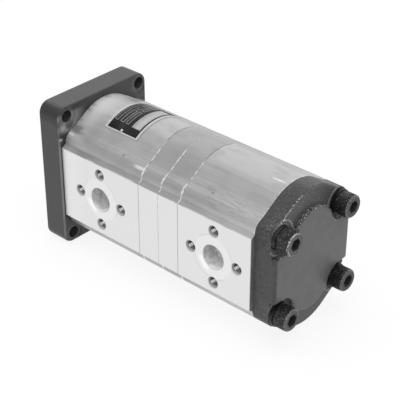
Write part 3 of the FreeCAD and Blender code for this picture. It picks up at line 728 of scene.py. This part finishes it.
# Camera at the photograph's viewing angle, in metres, degrees and millimetres of lens
CAMERA_PLACE = Vector((0.6073, -0.5452, 0.4402))
CAMERA_AZIMUTH = math.radians(42.236)
CAMERA_ELEVATION = math.radians(31.665)
CAMERA_ROLL = math.radians(0.066)
CAMERA_RAISED = 0.0004
CAMERA_LENS = 112.21
CAMERA_SENSOR = 36.0
CAMERA_NEAR = 0.01
camera_data = bpy.data.cameras.new("camera")
camera_data.sensor_width = CAMERA_SENSOR
camera_data.lens = CAMERA_LENS
camera_data.clip_start = CAMERA_NEAR
camera = bpy.data.objects.new("camera", camera_data)
bpy.context.scene.collection.objects.link(camera)
back = Vector((math.sin(CAMERA_AZIMUTH) * math.cos(CAMERA_ELEVATION),
               -math.cos(CAMERA_AZIMUTH) * math.cos(CAMERA_ELEVATION), math.sin(CAMERA_ELEVATION)))
right = (-back).cross(Vector((0, 0, 1))).normalized()
up = right.cross(-back)
rolled_right = right * math.cos(CAMERA_ROLL) + up * math.sin(CAMERA_ROLL)
rolled_up = up * math.cos(CAMERA_ROLL) - right * math.sin(CAMERA_ROLL)
turn = Matrix((rolled_right, rolled_up, back)).transposed()
camera.matrix_world = Matrix.Translation(CAMERA_PLACE + up * CAMERA_RAISED) @ turn.to_4x4()
bpy.context.scene.camera = camera

# White studio: a floor that keeps the shadow, a white surround and two wide soft lamps. Bare metal
# mirrors the surround, which dims towards the suction side
FLOOR_HALF = 6.0
FLOOR_GAP = 0.0001
FLOOR_GLOW = 0.87
FLOOR_SEEN = "#f8f8f8"
FLOOR_GIVES = "#8a8a8a"
WORLD_FILL = 0.55
MIRRORED_DIM = 0.74
MIRRORED_FROM = -0.65
MIRRORED_TO = 0.60
AIM = (0.1, 0.0, -0.017)
# Name, place and width in metres, and power in watts
LAMPS = (
    ("lamp_overhead", (0.0, -0.2, 1.6), 2.4, 25.0),
    ("lamp_rear_side", (1.9, 0.2, 0.5), 1.5, 5.5),
)


def shows_white(tree):
    """One for the camera and for mirror and glass rays, which see the plain white background."""
    seen = add(tree, "LightPath").node.outputs
    bounced = {0: seen["Is Glossy Ray"], 1: seen["Is Transmission Ray"]}
    mirrored = add(tree, "Math", bounced, operation="MAXIMUM")
    return add(tree, "Math", {0: seen["Is Camera Ray"], 1: mirrored}, operation="MAXIMUM")


def studio_floor(z):
    mesh = bpy.data.meshes.new("studio_floor")
    corners = [(-1, -1), (1, -1), (1, 1), (-1, 1)]
    mesh.from_pydata([(FLOOR_HALF * x, FLOOR_HALF * y, z) for x, y in corners], [], [(0, 1, 2, 3)])
    floor = bpy.data.objects.new("studio_floor", mesh)
    bpy.context.scene.collection.objects.link(floor)
    material = bpy.data.materials.new("matt_white_floor")
    material.use_nodes = True
    tree = material.node_tree
    tree.nodes.clear()
    white = shows_white(tree)
    colour = layered(tree, FLOOR_GIVES, [(FLOOR_SEEN, 1.0, (white, 0.0, 1.0))])
    paper = add(tree, "BsdfDiffuse", {"Color": colour})
    glow = add(tree, "Emission", {"Color": (1, 1, 1, 1), "Strength": 1.0})
    share = add(tree, "Math", {0: white, 1: FLOOR_GLOW}, operation="MULTIPLY")
    add(tree, "OutputMaterial", {"Surface": add(tree, "MixShader", {0: share, 1: paper, 2: glow})})
    mesh.materials.append(material)


def soft_lamp(name, place, width, power):
    """A wide disk that lights matt surfaces; bare metal mirrors the white surround instead."""
    data = bpy.data.lights.new(name, "AREA")
    data.shape = "DISK"
    data.size = width
    data.energy = power
    lamp = bpy.data.objects.new(name, data)
    bpy.context.scene.collection.objects.link(lamp)
    lamp.visible_glossy = False
    lamp.location = place
    lamp.rotation_euler = (Vector(place) - Vector(AIM)).to_track_quat("Z", "Y").to_euler()


def white_surround():
    world = bpy.data.worlds.new("white_surround")
    bpy.context.scene.world = world
    world.use_nodes = True
    tree = world.node_tree
    tree.nodes.clear()
    direction = add(tree, "TexCoord", out="Generated")
    across = add(tree, "SeparateXYZ", {0: direction}).node.outputs["Y"]
    limits = {"From Min": MIRRORED_FROM, "From Max": MIRRORED_TO, "To Min": MIRRORED_DIM}
    mirrored = add(tree, "MapRange", {"Value": across, **limits})
    glossy = add(tree, "LightPath", out="Is Glossy Ray")
    seen = add(tree, "Mix", {0: glossy, 2: 1.0, 3: mirrored}, data_type="FLOAT")
    strength = add(tree, "Mix", {0: shows_white(tree), 2: WORLD_FILL, 3: seen}, data_type="FLOAT")
    surround = add(tree, "Background", {"Color": (1, 1, 1, 1), "Strength": strength})
    add(tree, "OutputWorld", {"Surface": surround})


white_surround()
studio_floor(cad_low.z - FLOOR_GAP)
for lamp_name, place, width, power in LAMPS:
    soft_lamp(lamp_name, place, width, power)
bpy.context.scene.view_settings.view_transform = "Standard"
